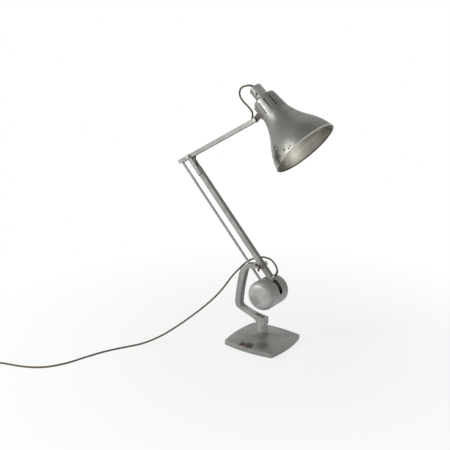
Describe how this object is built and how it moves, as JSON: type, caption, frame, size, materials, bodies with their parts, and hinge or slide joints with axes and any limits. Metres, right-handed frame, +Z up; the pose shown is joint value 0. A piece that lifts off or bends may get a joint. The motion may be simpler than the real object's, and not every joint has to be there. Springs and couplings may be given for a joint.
{
  "type": "balanced desk lamp",
  "caption": "Tabletop searchlight lamp: square cast foot, C-shaped swivel bracket, channel arms balanced by a split drum weight, parallel rod and a bell shade.",
  "frame": {"origin": "on the table, under the swivel axis", "axes": "+Z up along the swivel axis; +X the way the shade looks, in the arms' plane; the wing nut is on the -Y side"},
  "size_m": [0.8305, 0.6872, 0.7119],
  "materials": {
    "foot_paint": "satin aluminium-coloured paint, worn brown at the edges",
    "felt": "felt",
    "plate_metal": "dull dark metal",
    "fibre": "fibre",
    "steel": "dull steel",
    "brown_hardware": "dark brown oxidised",
    "bracket_paint": "satin aluminium-coloured paint",
    "arm_paint": "satin aluminium-coloured paint",
    "rod_paint": "satin aluminium-coloured paint",
    "weight_iron": "mottled aluminium-coloured paint",
    "shade_metal": "satin, worn",
    "holder_brass": "dull brass",
    "holder_cap": "worn brass",
    "insulator": "dark brown moulding",
    "clip_metal": "dull steel",
    "bulb_metal": "dull metal",
    "bulb_glass": "frosted",
    "flex": "brown and gold braid",
    "plug_body": "dark brown moulding",
    "plug_brass": "brass"
  },
  "bodies": {
    "base": {"base_plate": "foot_paint", "base_felt_pad": "felt", "blank_plate": "plate_metal", "swivel_washer": "fibre", "main_cord": "flex", "cord_coil": "flex", "plug_lead": "flex", "plug_cover": "plug_body", "plug_base": "plug_body", "plug_pins": "plug_brass"},
    "stem": {"swivel_spigot": "steel", "spigot_washer": "steel", "spigot_nut": "steel", "stem_bracket": "bracket_paint", "column_grub_screw": "steel", "fulcrum_bolt": "steel", "fulcrum_washers": "brown_hardware", "fulcrum_round_nut": "brown_hardware", "fulcrum_fibre_washers": "fibre"},
    "wing_nut": {"wing_nut": "brown_hardware"},
    "lower_arm": {"lower_arm_channel": "arm_paint", "elbow_ear_near": "arm_paint", "elbow_ear_far": "arm_paint", "elbow_rivets": "steel", "elbow_bolt": "steel", "elbow_nut": "steel", "elbow_washers": "fibre", "cord_bush": "insulator", "cord_clip": "clip_metal", "cord_clip_screw": "steel", "main_cord_loop": "flex", "lower_inner_cord": "flex", "elbow_cord": "flex"},
    "upper_arm": {"upper_arm_channel": "arm_paint", "rod_tail_pin": "steel", "upper_inner_cord": "flex", "head_cord_loop": "flex", "head_pivot_bolt": "steel", "head_pivot_nut": "steel", "head_pivot_washers": "fibre"},
    "parallel_rod": {"parallel_rod": "rod_paint"},
    "counterweight": {"weight_half_near": "weight_iron", "weight_half_far": "weight_iron", "weight_clamp_screws": "steel", "weight_rod_pin": "steel", "weight_arm_pin": "steel"},
    "head": {"shade": "shade_metal", "head_lug": "shade_metal", "lug_screws": "steel", "lug_nuts": "steel", "lampholder_cap": "holder_cap", "cord_gland": "holder_cap", "lampholder_barrel": "holder_brass", "lampholder_ring": "holder_cap", "contact_block": "insulator", "contact_plungers": "holder_brass", "bulb_cap": "bulb_metal", "bulb_glass": "bulb_glass"},
    "switch_bar": {"switch_push_bar": "insulator"}
  },
  "joints": [
    {"name": "stem_swivel", "type": "hinge", "parent": "base", "child": "stem", "pos_m": [0, 0, 0.035], "axis": [0, 0, 1], "range_deg": [-170, 170], "deforming": ["main_cord"]},
    {"name": "fulcrum_hinge", "type": "hinge", "parent": "stem", "child": "lower_arm", "pos_m": [-0.006, 0, 0.2255], "axis": [0, 1, 0], "range_deg": [-13, 25], "deforming": ["main_cord"]},
    {"name": "elbow_hinge", "type": "hinge", "parent": "lower_arm", "child": "upper_arm", "pos_m": [-0.24984, 0, 0.50112], "axis": [0, 1, 0], "range_deg": [-60, 25], "deforming": ["elbow_cord"]},
    {"name": "counterweight_hinge", "type": "hinge", "parent": "lower_arm", "child": "counterweight", "pos_m": [0.04469, 0, 0.1682], "axis": [0, 1, 0], "range_deg": [-60, 25]},
    {"name": "rod_hinge", "type": "hinge", "parent": "upper_arm", "child": "parallel_rod", "pos_m": [-0.27799, 0, 0.4859], "axis": [0, 1, 0], "range_deg": [-25, 60]},
    {"name": "head_tilt", "type": "hinge", "parent": "upper_arm", "child": "head", "pos_m": [-0.03257, 0, 0.61859], "axis": [0, 1, 0], "range_deg": [-60, 60], "deforming": ["head_cord_loop"]},
    {"name": "wing_nut_turn", "type": "hinge", "parent": "stem", "child": "wing_nut", "pos_m": [-0.006, 0, 0.2255], "axis": [0, 1, 0], "range_deg": [-90, 90]},
    {"name": "switch_push", "type": "slide", "parent": "head", "child": "switch_bar", "axis": [0, 1, 0], "range_m": [0, 0.005]}
  ],
  "couplings": [
    {"joint": "counterweight_hinge", "follows": "elbow_hinge", "ratio": 1},
    {"joint": "rod_hinge", "follows": "elbow_hinge", "ratio": -1}
  ]
}
